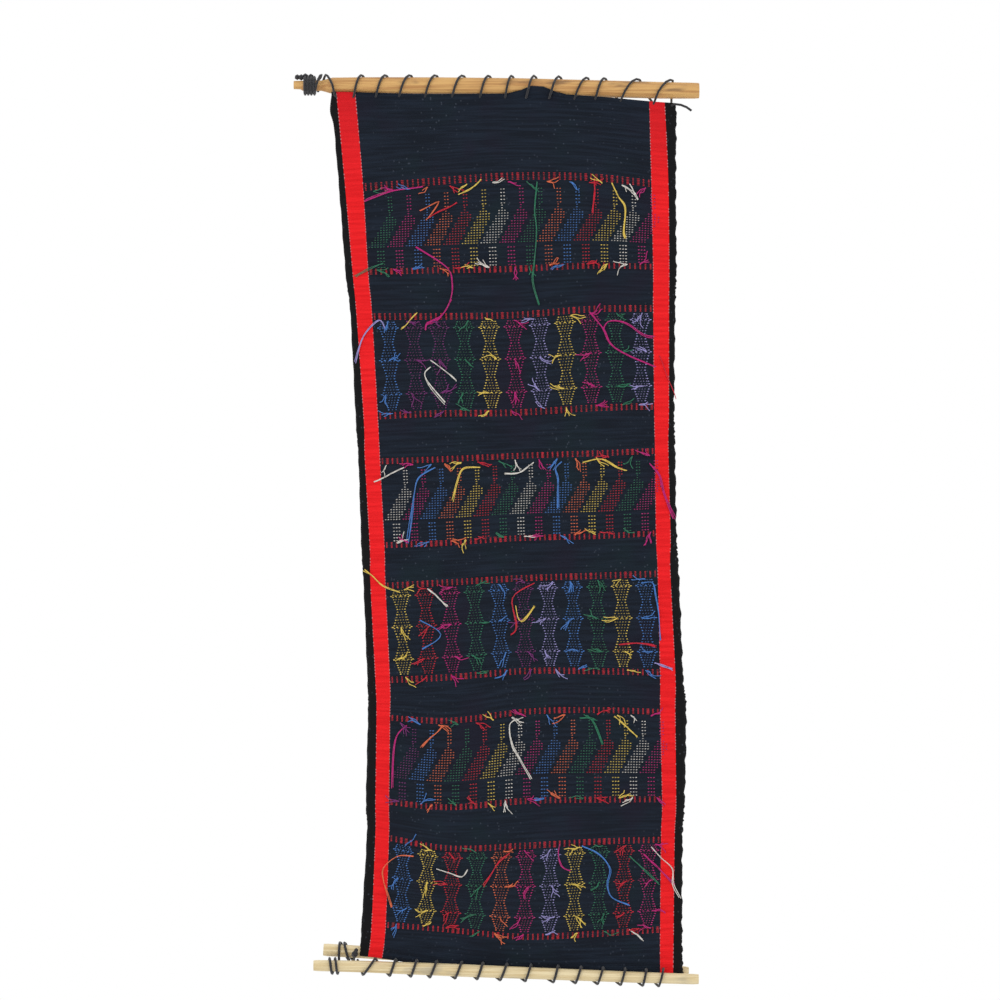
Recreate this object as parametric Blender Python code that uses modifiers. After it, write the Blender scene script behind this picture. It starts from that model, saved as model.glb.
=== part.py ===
"""Woven wall tapestry on lashed sticks, modelled at its real size in metres.

+X runs to the right of the face with the loose yarn ends, +Z is up, and that face looks along -Y.
The origin is on the hanging stick's axis, where hooks or pegs would carry it.
"""

import math
import random
from collections import namedtuple

import bmesh
import bpy
from mathutils import Vector

MM = 0.001
GAP = 0.3
YARN_SEED = 7

# Driving sizes in millimetres
CLOTH_THICKNESS = 1.6
BROCADE_THICKNESS = 1.0
YARN_END_RADIUS = 1.0
TOP_CORD_RADIUS = 1.25
BOTTOM_CORD_RADIUS = 1.35
STITCH_BELOW_EDGE = 3.4
STITCH_BELOW_AXIS = 12.2
FRONT_STICK_DEPTH = -8.1

# Shares of the cloth's width, from its left selvedge: the red stripes' edges and the brocaded field between them
STRIPE_LEFT = (0.026, 0.066)
STRIPE_RIGHT = (0.930, 0.971)
COLUMNS = (
    (0.0,) + STRIPE_LEFT + (0.15, 0.24, 0.33, 0.42, 0.50, 0.555, 0.60, 0.645, 0.71, 0.78, 0.855)
    + STRIPE_RIGHT + (1.0,)
)
PEAK_AT, PEAK_WIDTH, PEAK_HEIGHT = 0.60, 0.05, 9.0

# One row for each woven line that sets the sheet's shape, top to bottom, in millimetres:
# its two ends, its heights at the left, quarter, middle, three quarters and right, its depth,
# and the number of mesh rows down to the next line.
Line = namedtuple("Line", "name left right at_left quarter middle far_quarter at_right depth rows")
LINES = [
    Line("top edge", -175.9, 185.9, -6.3, -8.4, -8.4, -10.5, -17.9, -6.0, 4),
    Line("brocade 1 top", -168.0, 185.3, -103.5, -97.2, -90.9, -91.9, -100.8, -5.5, 3),
    Line("brocade 1 foot", -160.7, 185.9, -198.4, -196.9, -195.3, -191.6, -193.2, -4.8, 2),
    Line("brocade 2 top", -156.0, 184.8, -238.3, -238.3, -236.8, -230.5, -230.0, -4.4, 3),
    Line("brocade 2 foot", -150.2, 183.8, -350.7, -347.0, -346.0, -341.2, -339.1, -3.6, 2),
    Line("brocade 3 top", -147.5, 184.8, -391.2, -388.5, -384.9, -382.2, -379.1, -3.2, 3),
    Line("brocade 3 foot", -144.4, 186.4, -485.1, -482.5, -477.2, -475.1, -471.4, -2.6, 2),
    Line("brocade 4 top", -142.3, 188.5, -521.9, -517.7, -513.0, -510.3, -507.7, -2.3, 3),
    Line("brocade 4 foot", -138.1, 193.2, -626.8, -623.7, -616.9, -617.4, -619.0, -1.6, 2),
    Line("brocade 5 top", -137.6, 196.4, -658.4, -662.6, -653.1, -651.6, -654.2, -1.4, 3),
    Line("brocade 5 foot", -139.7, 194.8, -751.7, -759.7, -753.4, -751.7, -751.3, -0.8, 2),
    Line("brocade 6 top", -138.6, 192.7, -782.3, -796.5, -793.8, -789.1, -787.5, -0.6, 3),
    Line("brocade 6 foot", -144.4, 192.2, -882.0, -887.7, -895.7, -892.5, -887.2, -0.2, 2),
    Line("bottom edge", -146.0, 193.2, -913.0, -925.0, -929.0, -932.0, -933.0, 0.0, 0),
]
RIPPLE_HEIGHT, RIPPLES_ACROSS, RIPPLES_DOWN = 1.6, 1.5, 2.0
SELVEDGE_CURL, CURL_WIDTH = 2.0, 0.03

# Sticks: where along X a section lies, its axis, and its radius, in millimetres
Section = namedtuple("Section", "x y z radius")
TOP_STICK = [
    Section(-215.5, 0.0, 1.5, 4.3),
    Section(-208.0, 0.0, 1.5, 4.6),
    Section(-205.5, 0.0, 0.8, 5.3),
    Section(-186.0, 0.0, 0.8, 5.5),
    Section(-175.0, 0.0, 0.8, 8.6),
    Section(-140.0, 0.0, 0.7, 9.1),
    Section(-60.0, 0.3, 0.6, 9.1),
    Section(20.0, 0.0, -0.2, 9.0),
    Section(100.0, 0.0, -2.2, 8.9),
    Section(170.0, 0.0, -4.0, 8.8),
    Section(205.0, 0.0, -4.4, 8.4),
    Section(210.0, 0.0, -4.4, 8.0),
]
FRONT_STICK = [
    Section(-194.3, FRONT_STICK_DEPTH, -921.9, 5.4),
    Section(-190.0, FRONT_STICK_DEPTH, -921.9, 5.8),
    Section(-140.0, FRONT_STICK_DEPTH, -923.0, 6.2),
    Section(-35.0, FRONT_STICK_DEPTH, -927.2, 6.6),
    Section(43.0, FRONT_STICK_DEPTH, -930.3, 6.1),
    Section(137.6, FRONT_STICK_DEPTH, -934.0, 5.8),
    Section(204.0, FRONT_STICK_DEPTH, -936.1, 5.5),
    Section(209.0, FRONT_STICK_DEPTH, -936.1, 5.1),
]
BACK_STICK = [
    Section(-184.8, 7.6, -907.4, 6.2),
    Section(-180.0, 7.7, -907.7, 6.6),
    Section(0.0, 10.4, -919.4, 6.7),
    Section(195.0, 13.4, -932.1, 6.5),
    Section(199.5, 13.5, -932.4, 6.0),
]

# Lashings: where each stroke leaves the cloth's stitch hole or the stick's foot, and where it ends
Stroke = namedtuple("Stroke", "start end")
TOP_STROKES = [
    Stroke(-152.3, -143.9), Stroke(-129.2, -118.7), Stroke(-105.0, -92.9), Stroke(-77.7, -66.2),
    Stroke(-49.4, -37.8), Stroke(-20.0, -10.5), Stroke(6.3, 13.7), Stroke(28.4, 37.8),
    Stroke(52.5, 64.1), Stroke(78.8, 93.5), Stroke(100.8, 111.3), Stroke(127.1, 147.0),
    Stroke(161.7, 182.7),
]
BOTTOM_STROKES = [
    Stroke(-142.8, -129.2), Stroke(-114.5, -108.2), Stroke(-92.4, -86.1), Stroke(-72.5, -65.1),
    Stroke(-46.2, -38.9), Stroke(-23.1, -16.8), Stroke(1.0, 8.4), Stroke(27.3, 33.6),
    Stroke(56.7, 62.0), Stroke(79.8, 86.1), Stroke(102.9, 109.2), Stroke(127.1, 132.3),
    Stroke(150.2, 154.4), Stroke(167.0, 172.2),
]

# Long yarn ends: the brocade they leave, root and tip, their bow to the right of the way down, and their lift
Long = namedtuple("Long", "brocade root_x root_z tip_x tip_z bow lift")
LONG_ENDS = [
    Long(1, -79.8, -105.5, -139.7, -120.2, 3, 5.0),
    Long(1, 39.9, -101.3, 41.0, -229.4, -4, 7.5),
    Long(1, -87.2, -168.5, -62.0, -243.0, 16, 7.5),
    Long(1, 117.6, -102.4, 133.4, -160.0, 6, 6.5),
    Long(1, 97.0, -98.0, 95.7, -134.0, 3, 5.5),
    Long(1, -120.8, -186.4, -151.2, -200.0, 2, 4.5),
    Long(2, -118.7, -254.6, -151.2, -290.3, -9, 6.5),
    Long(2, 94.5, -238.8, 162.8, -294.5, -8, 6.5),
    Long(2, 106.0, -251.0, 161.7, -264.0, 9, 9.5),
    Long(2, -72.5, -294.5, -56.7, -333.4, -9, 6.5),
    Long(2, 157.0, -283.0, 185.9, -328.0, 3, 5.0),
    Long(3, -67.2, -399.5, -95.6, -480.4, -8, 6.5),
    Long(3, -20.0, -399.5, -49.4, -435.2, -6, 5.5),
    Long(3, 66.0, -394.3, 62.0, -442.6, -6, 6.5),
    Long(3, 155.0, -396.4, 183.8, -453.0, 7, 6.5),
    Long(3, 88.0, -395.3, 133.4, -402.7, 7, 5.0),
    Long(4, -104.0, -530.8, -141.8, -506.6, -5, 5.0),
    Long(4, 147.0, -521.3, 169.0, -581.2, 9, 6.5),
    Long(4, 121.0, -521.0, 148.0, -559.0, 6, 5.5),
    Long(4, 13.7, -537.0, 11.6, -575.0, -4, 6.5),
    Long(5, -96.6, -671.5, -112.4, -735.5, -5, 6.5),
    Long(5, 18.9, -664.0, 33.6, -726.0, -8, 6.5),
    Long(5, 85.0, -663.0, 109.2, -690.4, 6, 5.0),
    Long(5, 120.8, -661.0, 144.9, -682.0, 4, 5.0),
    Long(6, -90.3, -808.0, -112.4, -861.5, -18, 6.5),
    Long(6, 151.0, -803.0, 183.8, -840.0, 9, 6.0),
    Long(6, 157.0, -796.5, 190.0, -853.1, 9, 8.5),
    Long(6, 10.5, -804.8, -15.8, -839.5, -4, 5.0),
    Long(6, 87.2, -799.0, 136.5, -860.5, 10, 6.5),
]
# Short yarn ends, by rule: the shares of a brocade's height at which they are cut, and how many lie on each line
LEAF_CUT_LINES = ((0.10, 11), (0.88, 10))
DIAMOND_CUT_LINES = ((0.14, 9), (0.46, 9), (0.72, 9))
SHORT_LENGTH = (10.0, 17.0)
SHORT_LIFTS = (2.6, 4.0)

# Materials: colour as linear red, green and blue, then roughness
CLOTH_BLUE_BLACK = ((0.006, 0.010, 0.020), 0.95)
BROCADE_COLOURS = ((0.10, 0.012, 0.035), 0.92)
TOP_WOOD = ((0.62, 0.40, 0.16), 0.50)
PALE_WOOD = ((0.72, 0.62, 0.36), 0.60)
BLACK_YARN = ((0.010, 0.009, 0.010), 0.90)


def clear_scene():
    for obj in list(bpy.data.objects):
        bpy.data.objects.remove(obj, do_unlink=True)


def new_collection(name):
    collection = bpy.data.collections.new(name)
    bpy.context.scene.collection.children.link(collection)
    return collection


clear_scene()
TAPESTRY = new_collection("woven_wall_tapestry")
CUTTERS = new_collection("cutters")


def finish(obj, look):
    """Gives an object its own Principled material."""
    colour, roughness = look
    material = bpy.data.materials.new(obj.name)
    material.use_nodes = True
    shader = material.node_tree.nodes["Principled BSDF"]
    shader.inputs["Base Color"].default_value = (*colour, 1.0)
    shader.inputs["Roughness"].default_value = roughness
    shader.inputs["Metallic"].default_value = 0.0
    obj.data.materials.clear()
    obj.data.materials.append(material)
    return obj


def hide_cutter(obj):
    obj.hide_render = True
    obj.display_type = "WIRE"
    return obj


def smooth(values, at):
    """The value at a place along evenly spaced values, on a Catmull-Rom curve through them."""
    last = len(values) - 1
    first = min(int(at), last - 1)
    share = at - first
    before, start, end, after = (values[max(0, min(last, first + step))] for step in (-1, 0, 1, 2))
    slope_in, slope_out = (end - before) / 2, (after - start) / 2
    turn = 3 * (end - start) - 2 * slope_in - slope_out
    return start + share * (slope_in + share * (turn + share * (slope_in + slope_out - 2 * (end - start))))


def along(sections, x):
    """A stick's section at x, between the two sections that it lies between."""
    x = max(sections[0].x, min(sections[-1].x, x))
    for low, high in zip(sections, sections[1:]):
        if x <= high.x:
            share = (x - low.x) / (high.x - low.x)
            return Section(*(a + share * (b - a) for a, b in zip(low, high)))


def over_stick(x, z):
    """How far forward the heading must lie to pass over the hanging stick's front."""
    stick = along(TOP_STICK, x)
    reach = stick.radius + CLOTH_THICKNESS / 2 + 2.2 * GAP
    rise = z - stick.z
    return math.sqrt(max(0.0, reach * reach - rise * rise))


def cloth(across, down):
    """A point of the sheet's middle surface, in millimetres: across runs 0 to 1, down counts the lines."""
    left = smooth([line.left for line in LINES], down)
    right = smooth([line.right for line in LINES], down)
    x = left + across * (right - left)
    heights = [smooth(line[3:8], across * 4) for line in LINES]
    z = smooth(heights, down)
    top_share = max(0.0, 1.0 - 5 * down)
    z += PEAK_HEIGHT * top_share * math.exp(-(((across - PEAK_AT) / PEAK_WIDTH) ** 2))
    length_share = down / (len(LINES) - 1)
    hang = math.sin(math.pi * length_share)
    y = smooth([line.depth for line in LINES], down)
    y += RIPPLE_HEIGHT * hang * math.sin(
        2 * math.pi * (RIPPLES_ACROSS * across + RIPPLES_DOWN * length_share)
    )
    y += SELVEDGE_CURL * hang * (math.exp(-across / CURL_WIDTH) + math.exp((across - 1) / CURL_WIDTH))
    if top_share:
        y = min(y, -over_stick(x, z))
    return Vector((x, y, z))


def on_cloth(x, z):
    """The point of the sheet's middle surface that lies at x and z."""
    high, low = 0.0, float(len(LINES) - 1)
    for _ in range(24):
        down = (high + low) / 2
        left = smooth([line.left for line in LINES], down)
        right = smooth([line.right for line in LINES], down)
        across = max(0.0, min(1.0, (x - left) / (right - left)))
        if cloth(across, down).z > z:
            high = down
        else:
            low = down
    return cloth(across, down)


def mesh_rows(first, last):
    """Each mesh row's place down the cloth, from one line to another."""
    places = []
    for index in range(first, last):
        rows = LINES[index].rows
        places += [index + step / rows for step in range(rows)]
    return places + [float(last)]


def sheet(name, places, columns, forward, thickness, look):
    """A woven sheet through rows and columns of the cloth's surface, with its thickness from Solidify."""
    mesh = bpy.data.meshes.new(name)
    work = bmesh.new()
    bmesh.ops.create_grid(work, x_segments=len(columns) - 1, y_segments=len(places) - 1, size=1.0)
    for vert in work.verts:
        across = columns[round((vert.co.x + 1) / 2 * (len(columns) - 1))]
        down = places[round((1 - vert.co.y) / 2 * (len(places) - 1))]
        point = cloth(across, down)
        vert.co = Vector((point.x, point.y - forward, point.z)) * MM
    work.to_mesh(mesh)
    work.free()
    obj = bpy.data.objects.new(name, mesh)
    TAPESTRY.objects.link(obj)
    solid = obj.modifiers.new("thickness", "SOLIDIFY")
    solid.thickness = thickness * MM
    solid.offset = 0.0
    return finish(obj, look)


def path_curve(name, routes, radius, bevel_resolution=1):
    """A curve object with one straight-sided spline for each route, in millimetres."""
    curve = bpy.data.curves.new(name, "CURVE")
    curve.dimensions = "3D"
    curve.bevel_depth = radius * MM
    curve.bevel_resolution = bevel_resolution
    curve.use_fill_caps = True
    for route in routes:
        spline = curve.splines.new("POLY")
        spline.points.add(len(route) - 1)
        for point, place in zip(spline.points, route):
            point.co = (*(Vector(place) * MM), 1.0)
    return bpy.data.objects.new(name, curve)


def curve_to_mesh(obj, collection):
    """The curve's own surface as a welded mesh object, with the curve removed."""
    bpy.context.scene.collection.objects.link(obj)
    bpy.context.view_layer.update()
    evaluated = obj.evaluated_get(bpy.context.evaluated_depsgraph_get())
    mesh = bpy.data.meshes.new_from_object(evaluated)
    name = obj.name
    bpy.data.objects.remove(obj, do_unlink=True)
    work = bmesh.new()
    work.from_mesh(mesh)
    bmesh.ops.remove_doubles(work, verts=work.verts, dist=0.000001)
    bmesh.ops.recalc_face_normals(work, faces=work.faces)
    work.to_mesh(mesh)
    work.free()
    made = bpy.data.objects.new(name, mesh)
    collection.objects.link(made)
    return made


def join_by_boolean(obj, other):
    union = obj.modifiers.new(f"join {other.name}", "BOOLEAN")
    union.operation = "UNION"
    union.object = hide_cutter(other)
    union.use_self = True
    return obj


def cut(obj, cutter):
    difference = obj.modifiers.new(f"cut {cutter.name}", "BOOLEAN")
    difference.operation = "DIFFERENCE"
    difference.object = hide_cutter(cutter)
    return obj


# The sticks: peeled wood with sawn ends


def stick(name, sections, look):
    """A stick as one bevelled spline, its radius taken from the sections, its end caps square to its ends."""
    widest = max(section.radius for section in sections)
    obj = path_curve(name, [[section[:3] for section in sections]], widest, bevel_resolution=4)
    for point, section in zip(obj.data.splines[0].points, sections):
        point.radius = section.radius / widest
    TAPESTRY.objects.link(obj)
    return finish(obj, look)


stick("top_rod", TOP_STICK, TOP_WOOD)
stick("bottom_rod", FRONT_STICK, PALE_WOOD)
stick("back_rod", BACK_STICK, PALE_WOOD)


# The lashings: one black cord spirals round each stick and through the cloth's edge


def around(sections, x, degrees, reach):
    """A point at x, at a distance from the stick's axis: 180 degrees is the front, 90 the top."""
    axis = along(sections, x)
    turn = math.radians(degrees)
    return (x, axis.y + reach * math.cos(turn), axis.z + reach * math.sin(turn))


def edge_stitch(x):
    """The middle of the stitch hole at x, under the cloth's top edge and clear of the stick's foot."""
    across = (x - LINES[0].left) / (LINES[0].right - LINES[0].left)
    edge, next_row = cloth(across, 0.0), cloth(across, 1 / LINES[0].rows)
    z = min(edge.z - STITCH_BELOW_EDGE, along(TOP_STICK, x).z - STITCH_BELOW_AXIS)
    y = edge.lerp(next_row, (edge.z - z) / (edge.z - next_row.z)).y
    return (x, y, z)


# Each step of a turn over the hanging stick: its angle, and the share of the run done on the front or the back
FRONT_TURN = ((195, 0.24), (165, 0.42), (135, 0.62), (105, 0.86))
BACK_TURN = ((75, 0.06), (45, 0.18), (15, 0.36), (-15, 0.56), (-45, 0.76), (-75, 0.92))
OVER_PEAK = 2.6


def top_lashing_route():
    reach = 9.1 + TOP_CORD_RADIUS + 2.5 * GAP
    corner = edge_stitch(-171.0)
    route = [around(TOP_STICK, x, angle, far) for x, angle, far in (
        (-190.9, -40, 8.4), (-188.0, -10, 9.4), (-185.8, 25, 10.4), (-183.6, 60, 11.0),
        (-182.0, 90, 11.4), (-180.0, 120, 11.4), (-177.4, 150, 11.6), (-174.6, 180, 12.4),
    )]
    route += [
        (-172.0, corner[1] - 2.4, corner[2] + 1.2),
        corner,
        (-168.5, corner[1] + 3.4, corner[2] - 0.8),
        (-160.0, corner[1] + 4.2, corner[2] - 1.6),
        (-155.0, corner[1] + 3.4, corner[2] - 1.9),
    ]
    for index, stroke in enumerate(TOP_STROKES):
        hole = edge_stitch(stroke.start)
        on_peak = math.exp(-(((hole[0] - 40.0) / 26.0) ** 2))
        route.append(hole)
        for angle, share in FRONT_TURN:
            lift = OVER_PEAK * on_peak if angle > 160 else 0.4 * OVER_PEAK * on_peak
            x = stroke.start + share * (stroke.end - stroke.start)
            route.append(around(TOP_STICK, x, angle, reach + lift))
        after = TOP_STROKES[index + 1].start if index + 1 < len(TOP_STROKES) else 181.0
        for angle, share in BACK_TURN:
            x = stroke.end + share * (after - stroke.end)
            route.append(around(TOP_STICK, x, angle, reach + (0.8 if angle == -75 else 0.0)))
    last = edge_stitch(180.6)
    return route + [
        last,
        (183.6, last[1] - 2.6, last[2] + 1.6),
        (190.5, last[1] - 3.2, last[2] + 0.6),
        (196.5, last[1] - 3.0, last[2] - 1.8),
        (201.6, last[1] - 2.6, last[2] - 5.4),
    ]


# Each step of a turn round the front bottom stick, from its foot up the front, over and through the cloth:
# its place from the stick's axis, the share of the stroke done, and the share of the way to the next stroke
Step = namedtuple("Step", "forward_y up_z stroke_share back_share")
BOTTOM_TURN = [
    Step(0.0, -8.6, 0.0, 0.0),
    Step(-4.3, -7.45, 0.10, 0.0),
    Step(-7.45, -4.3, 0.26, 0.0),
    Step(-8.6, 0.0, 0.48, 0.0),
    Step(-7.45, 4.3, 0.70, 0.0),
    Step(-4.3, 7.45, 0.86, 0.0),
    Step(0.0, 8.8, 0.94, 0.0),
    Step(4.4, 8.4, 0.98, 0.0),
    Step(10.9, 3.6, 1.0, 0.12),
    Step(11.0, -2.4, 1.0, 0.45),
    Step(7.0, -7.0, 1.0, 0.8),
]
LAST_HITCH = (
    (173.4, 12.2, 9.8), (174.0, 20.6, 13.6), (174.8, 27.6, 10.2), (175.6, 30.0, 4.6),
    (176.6, 27.4, -1.4), (177.8, 21.0, -4.2), (179.0, 14.6, -2.6),
)


def bottom_lashing_route():
    knot = on_cloth(-146.0, -914.0)
    route = [
        (-149.0, 1.4, -916.6),
        (-147.0, 1.6, knot.z - 7.0),
        (-145.0, -0.2, knot.z - 14.2),
    ]
    for index, stroke in enumerate(BOTTOM_STROKES):
        last = index + 1 == len(BOTTOM_STROKES)
        after = stroke.end if last else BOTTOM_STROKES[index + 1].start
        for step in BOTTOM_TURN[:8] if last else BOTTOM_TURN:
            x = stroke.start + step.stroke_share * (stroke.end - stroke.start)
            x += step.back_share * (after - stroke.end)
            axis = along(FRONT_STICK, x)
            route.append((x, axis.y + step.forward_y, axis.z + step.up_z))
    for x, forward_y, up_z in LAST_HITCH:
        axis = along(FRONT_STICK, x)
        route.append((x, axis.y + forward_y, axis.z + up_z))
    return route


def lashing(name, route, radius):
    """The cord itself, and the same cord a little thicker to cut its stitch holes with."""
    cord = path_curve(name, [route], radius)
    TAPESTRY.objects.link(cord)
    finish(cord, BLACK_YARN)
    return curve_to_mesh(path_curve(f"{name}_hole", [route], radius + GAP), CUTTERS)


top_holes = lashing("top_lashing", top_lashing_route(), TOP_CORD_RADIUS)
bottom_holes = lashing("bottom_lashing", bottom_lashing_route(), BOTTOM_CORD_RADIUS)


# The cloth: one warp-faced sheet with the hang's outline and bowed weft lines, pierced by the lashings

panel = sheet(
    "woven_panel", mesh_rows(0, len(LINES) - 1), COLUMNS, 0.0, CLOTH_THICKNESS, CLOTH_BLUE_BLACK
)
cut(panel, top_holes)
cut(panel, bottom_holes)


# The brocades: six fields of inlaid weft yarn on the face, with their loose cut ends


def yarn_end(root, tip, bow, lift):
    """A cut end that leaves the brocade squarely, arches out, and comes back towards the cloth at its tip."""
    root, tip = Vector((root[0], 0, root[1])), Vector((tip[0], 0, tip[1]))
    way = tip - root
    side = Vector((-way.z, 0, way.x)).normalized() * (-1 if way.z > 0 else 1)
    middle_layer = CLOTH_THICKNESS / 2 + GAP + BROCADE_THICKNESS / 2
    front = middle_layer + BROCADE_THICKNESS / 2
    clear = front + GAP + YARN_END_RADIUS
    route = []
    for share, height in (
        (0.0, middle_layer), (0.0, clear + 0.3), (0.3, front + lift), (0.68, front + 0.85 * lift), (1.0, clear),
    ):
        place = root + share * way + math.sin(math.pi * share) * bow * side
        surface = on_cloth(place.x, place.z)
        route.append((place.x, surface.y - height, place.z))
    return route


def short_ends(number, first_line, chance):
    """Cut ends in lines across the field, leaning left and right in turn, at two heights off the cloth."""
    cut_lines = LEAF_CUT_LINES if number % 2 else DIAMOND_CUT_LINES
    low, high = STRIPE_LEFT[1] + 0.03, STRIPE_RIGHT[0] - 0.04
    routes = []
    for share, count in cut_lines:
        for index in range(count):
            across = low + (high - low) * (index + chance.uniform(0.3, 0.7)) / count
            root = cloth(across, first_line + share)
            if any(
                math.hypot(root.x - end.root_x, root.z - end.root_z) < 7.0
                for end in LONG_ENDS if end.brocade == number
            ):
                continue
            lean = math.radians(chance.uniform(15, 65)) * (1 if index % 2 else -1)
            length = chance.uniform(*SHORT_LENGTH)
            tip = (root.x + length * math.sin(lean), root.z - length * math.cos(lean))
            bow = chance.uniform(-2.5, 2.5)
            routes.append(yarn_end((root.x, root.z), tip, bow, SHORT_LIFTS[index % 2]))
    return routes


def triangle_profile():
    """The three-sided section of a cut yarn end."""
    curve = bpy.data.curves.new("yarn_section", "CURVE")
    curve.dimensions = "2D"
    spline = curve.splines.new("POLY")
    spline.points.add(2)
    for point, degrees in zip(spline.points, (90, 210, 330)):
        turn = math.radians(degrees)
        reach = YARN_END_RADIUS * MM
        point.co = (reach * math.cos(turn), reach * math.sin(turn), 0.0, 1.0)
    spline.use_cyclic_u = True
    obj = bpy.data.objects.new("yarn_section", curve)
    CUTTERS.objects.link(obj)
    return hide_cutter(obj)


yarn_section = triangle_profile()


def brocade(number):
    first_line = 2 * number - 1
    name = f"brocade_{number}"
    field = [share for share in COLUMNS if STRIPE_LEFT[1] <= share <= STRIPE_RIGHT[0]]
    forward = CLOTH_THICKNESS / 2 + GAP + BROCADE_THICKNESS / 2
    slab = sheet(
        name, mesh_rows(first_line, first_line + 1), field, forward, BROCADE_THICKNESS, BROCADE_COLOURS
    )
    routes = [
        yarn_end((end.root_x, end.root_z), (end.tip_x, end.tip_z), end.bow, end.lift)
        for end in LONG_ENDS if end.brocade == number
    ]
    routes += short_ends(number, first_line, random.Random(YARN_SEED + number))
    ends = path_curve(f"{name}_ends", routes, YARN_END_RADIUS)
    ends.data.bevel_mode = "OBJECT"
    ends.data.bevel_object = yarn_section
    join_by_boolean(slab, curve_to_mesh(ends, CUTTERS))


for brocade_number in range(1, 7):
    brocade(brocade_number)


# The end wrap: cord wound round the hanging stick's thin end, with its knot and a loose turn

WRAP_LEFT, WRAP_TURNS, WRAP_PITCH = -205.2, 4, 3.25
WRAP_BORE, WRAP_GROOVE, WRAP_RIDGE = 5.85, 8.6, 10.4
Lump = namedtuple("Lump", "x y z radius")
KNOT_LUMPS = [
    Lump(-211.8, -0.6, 9.7, 3.1),
    Lump(-207.6, -1.4, 9.4, 3.4),
    Lump(-203.4, 0.6, 10.6, 3.4),
    Lump(-197.6, -0.8, 10.2, 3.2),
]
LOOSE_TURN = (
    (-193.6, 252, 8.2), (-192.4, 215, 9.2), (-191.2, 180, 10.4), (-189.4, 150, 11.2),
    (-187.6, 120, 11.4), (-186.4, 90, 11.4), (-187.6, 60, 10.8), (-190.6, 40, 9.6), (-193.8, 30, 8.6),
)


def end_wrap():
    """A ring turned from its ridged profile, with the knot's lumps and the loose turn joined on."""
    mesh = bpy.data.meshes.new("end_wrap")
    work = bmesh.new()
    profile = [(WRAP_LEFT, WRAP_BORE), (WRAP_LEFT, WRAP_GROOVE)]
    for turn in range(WRAP_TURNS):
        start = WRAP_LEFT + turn * WRAP_PITCH
        profile += [(start + 0.28 * WRAP_PITCH, WRAP_RIDGE), (start + 0.72 * WRAP_PITCH, WRAP_RIDGE)]
        profile.append((start + WRAP_PITCH, WRAP_GROOVE))
    profile.append((WRAP_LEFT + WRAP_TURNS * WRAP_PITCH, WRAP_BORE))
    verts = [work.verts.new((x * MM, 0.0, reach * MM)) for x, reach in profile]
    for start, end in zip(verts, verts[1:] + verts[:1]):
        work.edges.new((start, end))
    work.to_mesh(mesh)
    work.free()
    ring = bpy.data.objects.new("end_wrap", mesh)
    ring.location.z = along(TOP_STICK, WRAP_LEFT).z * MM
    TAPESTRY.objects.link(ring)
    turned = ring.modifiers.new("turned", "SCREW")
    turned.axis = "X"
    turned.steps = 14
    turned.render_steps = 14
    turned.use_merge_vertices = True
    turned.merge_threshold = 0.00001
    turned.use_normal_flip = True
    for index, lump in enumerate(KNOT_LUMPS):
        join_by_boolean(ring, knot_lump(f"wrap_lump_{index}", lump))
    loop = [around(TOP_STICK, x, angle, far) for x, angle, far in LOOSE_TURN]
    join_by_boolean(ring, curve_to_mesh(path_curve("loose_turn", [loop], TOP_CORD_RADIUS), CUTTERS))
    return finish(ring, BLACK_YARN)


def knot_lump(name, lump):
    mesh = bpy.data.meshes.new(name)
    work = bmesh.new()
    bmesh.ops.create_icosphere(work, subdivisions=1, radius=lump.radius * MM)
    for vert in work.verts:
        vert.co += Vector((lump.x, lump.y, lump.z)) * MM
    work.to_mesh(mesh)
    work.free()
    obj = bpy.data.objects.new(name, mesh)
    CUTTERS.objects.link(obj)
    return obj


end_wrap()


# The corner tie: a cord round both bottom sticks at the left, ending in a knot at the cloth's corner

# Angles round each stick with the place along it, in turn
FRONT_TIE = ((0, -178.6), (90, -177.6), (180, -175.9), (270, -174.6), (360, -173.2), (450, -171.6),
             (540, -170.1), (630, -169.0), (722, -168.2))
BACK_TIE = ((182, -168.0), (90, -167.5), (0, -164.0), (-105, -157.6), (-240, -162.6), (-270, -162.8),
            (-360, -159.6), (-470, -152.6))
TIE_STEP = 30
CORNER_KNOT = [Lump(-151.4, -3.6, -910.6, 4.0), Lump(-149.8, -5.0, -906.4, 2.6)]


def wind(sections, table, reach):
    """Points round a stick, every few degrees between the table's rows."""
    points = []
    for (start, start_x), (end, end_x) in zip(table, table[1:]):
        steps = max(1, round(abs(end - start) / TIE_STEP))
        for step in range(steps):
            share = step / steps
            points.append(
                around(sections, start_x + share * (end_x - start_x), start + share * (end - start), reach)
            )
    last_angle, last_x = table[-1]
    points.append(around(sections, last_x, last_angle, reach))
    return points


def corner_tie():
    clearance = BOTTOM_CORD_RADIUS + 2.2 * GAP
    route = wind(FRONT_STICK, FRONT_TIE, 6.1 + clearance)
    route += wind(BACK_STICK, BACK_TIE, 6.7 + clearance)
    route.append((-151.6, -3.6, -911.6))
    tie = curve_to_mesh(path_curve("corner_tie", [route], BOTTOM_CORD_RADIUS), TAPESTRY)
    for index, lump in enumerate(CORNER_KNOT):
        join_by_boolean(tie, knot_lump(f"corner_lump_{index}", lump))
    return finish(tie, BLACK_YARN)


corner_tie()
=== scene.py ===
"""The looks of a woven wall tapestry on lashed sticks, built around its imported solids.

Everything is in metres, +Z up; the face with the loose yarn ends looks along -Y.
"""

import math
import random
from collections import namedtuple

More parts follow.
